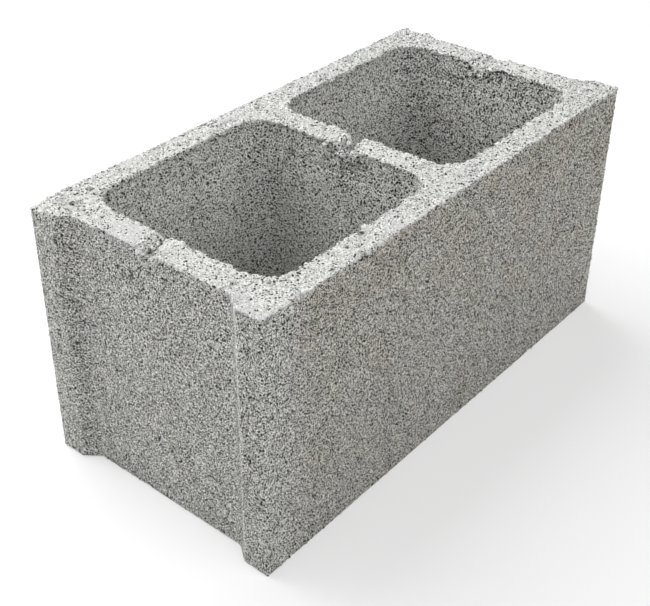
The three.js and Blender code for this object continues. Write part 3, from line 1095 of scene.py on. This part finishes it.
# Single lumps: the middle (x, y, z) and the reach each way, in mm, and how much lighter it is.
LUMPS = np.array([
    (168, 15, 187.2, 1.8, 2.0, 1.9, 1.1), (167.3, 12.6, 185.6, 1.9, 2.2, 2.2, 1.1),
    (167, 10.6, 184, 1.6, 1.8, 1.8, 1.0), (173.5, 5.5, 186.5, 1.8, 1.8, 1.6, 0.35),
    (-185.5, 8.3, 186.2, 1.6, 2.2, 1.8, 0.9), (-176.5, 5.5, 186.3, 1.5, 1.6, 1.6, 1.0),
    (-183.3, 8, 184, 1.5, 1.5, 1.3, 1.0), (-179.8, 8.4, 184.6, 1.3, 1.3, 1.1, 0.9),
    (-172.2, 8.2, 185.2, 1.5, 1.5, 1.3, 0.9), (-169.6, 8.3, 186, 1.4, 1.4, 1.2, 0.8),
    (-172.9, 3.6, 184.3, 1.6, 1.6, 1.4, 0.8), (-182.3, 4.6, 180.8, 1.4, 1.4, 1.2, 0.8),
    (-168.5, 7, 188, 1.5, 1.8, 1.5, 0.4), (-169, 11.5, 188, 1.6, 1.8, 1.5, 0.35),
    (-168, 0, 188.5, 1.8, 2.0, 1.8, 0.3), (-168, -4.5, 188.3, 2.4, 2.6, 2.0, 0.25),
    (-181, -6, 186, 2.2, 2.4, 1.8, 0.15), (6, 9.5, 186.3, 4.0, 3.2, 2.6, 0.5),
    (3.5, 5.5, 184.3, 3.6, 2.8, 2.6, 0.5), (7.4, 9, 184.8, 2.9, 3.0, 2.8, 0.5),
    (7.4, 6.4, 182, 2.9, 2.6, 2.8, 0.5), (-0.5, 6, 182.2, 1.9, 1.9, 1.6, 0.4),
    (3, -8, 187, 3.0, 3.0, 2.4, 0.10), (8, -12, 186.8, 2.6, 3.0, 2.2, 0.10),
    (-9.5, -10, 181, 2.4, 2.8, 2.6, 0.1), (-10, 0, 182.5, 1.8, 2.0, 2.0, 0.25),
    (-9.5, 6, 180, 2.0, 2.2, 2.2, 0.2), (-37, -92.5, 187.5, 2.6, 2.0, 2.0, 0.25),
    (-166, -20, 187.3, 2.4, 3.0, 2.0, 0.10), (-166, -34, 187.2, 2.6, 3.4, 2.2, 0.05),
])


def rubble_piece(name, seed):
    """Rubble in the broken places: balls stretched by 0.7 to 1.4 each way, light and dark ones mixed,
    their middles up to half a radius in or out of the crown's skin. It keeps clear of the deep holes and
    the lumps."""
    rng = np.random.default_rng(seed)
    weight = np.where(broken_share(crown_points) > 0.4, 1.0, 0.0)
    weight[np.abs(crown_points[:, 2] - CROWN_BASE) < 2 * MM] = 0
    for *place, size in [*HOLES, *(LUMPS[:, :4] * MM)]:
        weight[distance_to(crown_skin, place) < size + 0.8 * MM] = 0
    chosen = rng.choice(len(weight), RUBBLE_COUNT, replace=False, p=weight / weight.sum())
    radius = (0.5 + 0.8 * rng.random(RUBBLE_COUNT) ** 1.5) * MM
    out = radius * rng.uniform(-0.4, 0.5, RUBBLE_COUNT)
    middle = crown_skin[chosen] + crown_normals[chosen] * out[:, None]
    shape = BALL * rng.uniform(0.7, 1.4, (RUBBLE_COUNT, 1, 3)) * radius[:, None, None]
    tone = 0.25 + 0.25 * rng.normal(size=RUBBLE_COUNT) + pale_and_painted_light(middle)
    return ball_piece(name, middle, shape, dents=(0.25, 1.8 * MM, 97), tone=tone)


def lump_piece(name):
    """Each lump is the ball stretched to its reach."""
    middle, reach, tone = LUMPS[:, :3] * MM, LUMPS[:, None, 3:6] * MM, LUMPS[:, 6]
    return ball_piece(name, middle, BALL * reach, dents=(0.22, 2.6 * MM, 171), tone=tone, smear=0.6)


crumbs = crumb_piece("crumbs", seed=7)
rubble = rubble_piece("rubble", seed=9)
lumps = lump_piece("paste_lumps")

# ---- Ridges of paste -------------------------------------------------

# Thin ridges of paste squeezed between mould parts: the points of each (x, y, z), in mm.
RIDGES = [
    [
        (-88, -82, 189.5), (-82, -80.5, 189.6), (-77, -81, 189.5), (-78, -86.6, 189.6),
        (-81, -92.7, 189.4), (-81, -94.6, 187.5), (-80.2, -94.8, 183),
    ],
    [(-171, 10, 185.5), (-175, 10.5, 188), (-184, 12, 189), (-186.3, 13.5, 187.5), (-186.3, 16, 184)],
    [(-184, -9, 189.3), (-186.2, -6.5, 187), (-186.2, -4, 182.5), (-186.2, -2.5, 178)],
    [(-181.5, -10, 189.3), (-183.5, -16, 189.5), (-184, -24, 189.5), (-184.5, -31, 189.4)],
    [(-9.0, 13.5, 189.0), (-4.0, 11.9, 189.3), (2.7, 11.2, 187.6)],
    [(165.3, 24, 184.8), (166, 20.5, 187), (169.2, 17.5, 189), (173, 17, 189.4)],
    [(163, 5, 187), (167, 2, 188.5), (172, 1, 188.8)],
]
RIDGE_SIDES = 8
RIDGE_STEP = 0.7 * MM
RIDGE_RADIUS = 0.7 * MM
# A direction that no ridge runs in, to set its sides by.
OFF_ANY_RIDGE = (0.35, -0.85, 0.4)


def ridge_piece(name):
    """Each ridge is a tube of eight sides along its points, set every 0.7 mm: its radius, 0.7 mm in the
    middle and 0.02 of that at the ends, wobbles by a third with noise."""
    points, faces, count = [], [], 0
    angle = np.arange(RIDGE_SIDES)[None, :, None] * 2 * math.pi / RIDGE_SIDES
    for path in RIDGES:
        path = np.array(path) * MM
        steps = np.linalg.norm(np.diff(path, axis=0), axis=1)
        length = np.concatenate([[0], np.cumsum(steps)])
        at = np.linspace(0, length[-1], math.ceil(length[-1] / RIDGE_STEP) + 1)
        spine = np.column_stack([np.interp(at, length, path[:, axis]) for axis in range(3)])
        along = unit(np.gradient(spine, axis=0))
        aside = unit(np.cross(along, OFF_ANY_RIDGE))
        ring = np.cos(angle) * aside[:, None] + np.sin(angle) * np.cross(along, aside)[:, None]
        wobble = 1 + 0.35 * rough_noise(spine, 2.5 * MM, seed=181, layers=2)
        radius = RIDGE_RADIUS * wobble * np.clip(4 * np.sin(np.pi * at / length[-1]), 0.02, 1)
        points.append((spine[:, None] + radius[:, None, None] * ring).reshape(-1, 3))
        faces.append(count + grid_faces(len(at), RIDGE_SIDES, around=False)[:, [0, 3, 2, 1]])
        count += RIDGE_SIDES * len(at)
    points, faces = np.concatenate(points), np.concatenate(faces)
    return concrete_piece(name, inside_mould(points), faces, True, tone=0.4, smear=1.0)


ridges = ridge_piece("paste_ridges")

# ---- Crushed grains --------------------------------------------------

GRAIN_PIECES = 3
GRAINS_EACH = 22000
GRAIN_SQUASH = np.array([1, 1, 0.6])
OCTAHEDRON = np.array([
    (0, 2, 4), (2, 1, 4), (1, 3, 4), (3, 0, 4),
    (2, 0, 5), (1, 2, 5), (3, 1, 5), (0, 3, 5),
])
AXES = np.array([(1, 0, 0), (-1, 0, 0), (0, 1, 0), (0, -1, 0), (0, 0, 1), (0, 0, -1)], float)


def grain_places(count, rng):
    """Where the grains sit, and the skin's normals there: points at random on the skin, as many on a face
    as its area times its weight calls for. The weight is a third at the bed, and 0 on plates, in broken
    places and on the arris. Those near a deep hole are left out."""
    meshes = ((body_points, body_faces), (crown_points, crown_faces))
    a, b, c, d = (np.concatenate([points[faces[:, n]] for points, faces in meshes]) for n in range(4))
    across = np.cross(c - a, d - b) / 2
    area = np.linalg.norm(across, axis=1)
    normal = across / np.maximum(area, NO_AREA)[:, None]
    middle = (a + b + c + d) / 4
    weight = area * np.where(middle[:, 2] < 3 * MM, 0.35, 1.0) * (1 - smeared(middle))
    weight[(broken_share(middle) > 0.5) | (arris_highlight_share(middle) > 0.5)] = 0
    weight[np.concatenate([joint_faces(*mesh) for mesh in meshes])] = 0
    chosen = rng.choice(len(area), count, p=weight / weight.sum())
    s, t = rng.random((2, count, 1))
    place = (1 - s) * ((1 - t) * a[chosen] + t * d[chosen]) + s * ((1 - t) * b[chosen] + t * c[chosen])
    clear = np.ones(count, bool)
    for *middle, hole in HOLES:
        clear &= distance_to(place, middle) > 1.3 * hole + 0.5 * MM
    return (place - SKIN_DEPTH * normal[chosen])[clear], normal[chosen][clear]


def grain_piece(name, count, seed):
    """Crushed grains: octahedra of 0.45 to 1.1 mm radius, most of them small. Their six corners reach 0.7
    to 1.2 times the radius, or 0.6 times that along the normal, and stray by about 0.2 times it. Each
    grain is turned at random about the normal and tilted a little."""
    rng = np.random.default_rng(seed)
    place, facing = grain_places(count, rng)
    count = len(place)
    radius = (0.45 + 0.65 * rng.random(count) ** 2.2) * MM
    aside = unit(np.cross(facing, rng.normal(size=(count, 3))))
    normal = unit(facing + 0.35 * rng.normal(size=(count, 3)))
    aside = unit(aside - (aside * normal).sum(1, keepdims=True) * normal)
    basis = np.stack([aside, np.cross(normal, aside), normal], axis=1)
    reach = 0.7 + 0.5 * rng.random((count, len(AXES), 1))
    local = AXES * reach * GRAIN_SQUASH + 0.18 * rng.normal(size=(count, len(AXES), 3)) * GRAIN_SQUASH
    corners = place[:, None] + radius[:, None, None] * np.einsum("nkc,ncd->nkd", local, basis)
    corners += (normal * radius[:, None] * 0.1)[:, None]
    # The grains take the pale tones, painted light and painted shade of the places they sit in.
    tone = 0.08 * rng.normal(size=count) + 0.03 + pale_and_painted_light(place) + SHADED_TONE * shaded_share(place, facing)
    reads = dict(tone=tone, sky=sky_share(facing), front=front_stain_and_shade_share(place, facing), cell=cell_share(place))
    reads = {name: np.repeat(values, len(AXES)) for name, values in reads.items()}
    faces = repeated(OCTAHEDRON, len(AXES), count)
    return concrete_piece(name, inside_mould(corners.reshape(-1, 3)), faces, False, **reads)


grain_sets = [
    grain_piece(f"crushed_grains_{n + 1}", GRAINS_EACH, seed=100 + n) for n in range(GRAIN_PIECES)
]

for piece in [body, crown, crumbs, rubble, lumps, ridges, *grain_sets]:
    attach(piece, BODY)
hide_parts(NODE)

# ---- Floor, light and camera -----------------------------------------

FLOOR_REACH = 6
FLOOR_GREY = (0.86, 0.86, 0.86, 1)
WHITE = (1, 1, 1, 1)


def pale_floor_material(name):
    """A matt pale floor. Half of the brightness that the camera sees is its own, so that the shadow stays
    light."""
    material, n = node_material(name)
    matt = n.add("ShaderNodeBsdfDiffuse", {"Color": FLOOR_GREY})
    bright = n.add("ShaderNodeEmission", {"Color": WHITE, "Strength": 1.0})
    share = n.times(n.add("ShaderNodeLightPath").outputs["Is Camera Ray"], 0.5)
    mixed = n.add("ShaderNodeMixShader", {0: share, 1: matt.outputs[0], 2: bright.outputs[0]})
    n.add("ShaderNodeOutputMaterial", {"Surface": mixed.outputs[0]})
    return material


floor_points = FLOOR_REACH * np.array([(-1, -1, 0), (1, -1, 0), (1, 1, 0), (-1, 1, 0)], float)
floor = mesh_object("floor", floor_points, np.array([(0, 1, 2, 3)]), False)
floor.data.materials.append(pale_floor_material("pale_floor"))


def soft_box(name, place, target, size, power):
    """A square area light that faces its target."""
    light = bpy.data.lights.new(name, "AREA")
    light.shape = "SQUARE"
    light.size = size
    light.energy = power
    obj = bpy.data.objects.new(name, light)
    obj.location = place
    obj.rotation_euler = (Vector(target) - Vector(place)).to_track_quat("-Z", "Y").to_euler()
    bpy.context.scene.collection.objects.link(obj)
    return obj


BLOCK_MIDDLE = (0, 0, 0.1)
soft_box("back_soft_box", (0, 1.2, 1.3), BLOCK_MIDDLE, size=2.2, power=61)
soft_box("front_soft_box", (0, -1.9, 1.5), BLOCK_MIDDLE, size=2.0, power=34)
soft_box("end_soft_box", (-1.2, 0, 1.3), BLOCK_MIDDLE, size=1.5, power=8.6)


def white_world(name, lighting, seen):
    """White surroundings that light the block weakly and that the camera sees as a bright backdrop."""
    world = bpy.data.worlds.new(name)
    world.use_nodes = True
    n = Nodes(world.node_tree)
    share = n.add("ShaderNodeLightPath").outputs["Is Camera Ray"]
    dim, bright = (n.add("ShaderNodeBackground", {"Color": WHITE, "Strength": s}) for s in (lighting, seen))
    mixed = n.add("ShaderNodeMixShader", {0: share, 1: dim.outputs[0], 2: bright.outputs[0]})
    n.add("ShaderNodeOutputWorld", {"Surface": mixed.outputs[0]})
    return world


scene = bpy.context.scene
scene.world = white_world("surroundings", lighting=0.02, seen=1.0)

CAMERA_AZIMUTH = math.radians(-49.93)
CAMERA_ELEVATION = math.radians(32.91)
CAMERA_ROLL = math.radians(0.08)
CAMERA_DISTANCE = 0.801
CAMERA_TARGET = Vector((-0.043, 0, 0.1041))
SENSOR_WIDTH = 36
# The lens's length, the picture's width and how far its middle lies off the lens's axis, in pixels.
FOCAL_PIXELS = 1172
IMAGE_WIDTH = 650
SHIFT_RIGHT = 15
SHIFT_UP = -28

back = Vector((
    math.sin(CAMERA_AZIMUTH) * math.cos(CAMERA_ELEVATION),
    -math.cos(CAMERA_AZIMUTH) * math.cos(CAMERA_ELEVATION),
    math.sin(CAMERA_ELEVATION),
))
right = Vector((0, 0, 1)).cross(back).normalized()
up = back.cross(right)
turned_right = right * math.cos(CAMERA_ROLL) + up * math.sin(CAMERA_ROLL)
turned_up = up * math.cos(CAMERA_ROLL) - right * math.sin(CAMERA_ROLL)
turn_to_view = Matrix((turned_right, turned_up, back)).transposed().to_4x4()
camera_data = bpy.data.cameras.new("camera")
camera_data.sensor_width = SENSOR_WIDTH
camera_data.lens = FOCAL_PIXELS / IMAGE_WIDTH * SENSOR_WIDTH
camera_data.shift_x = SHIFT_RIGHT / IMAGE_WIDTH
camera_data.shift_y = SHIFT_UP / IMAGE_WIDTH
camera = bpy.data.objects.new("camera", camera_data)
camera.matrix_world = Matrix.Translation(CAMERA_TARGET + back * CAMERA_DISTANCE) @ turn_to_view
scene.collection.objects.link(camera)
scene.camera = camera
scene.view_settings.view_transform = "Standard"
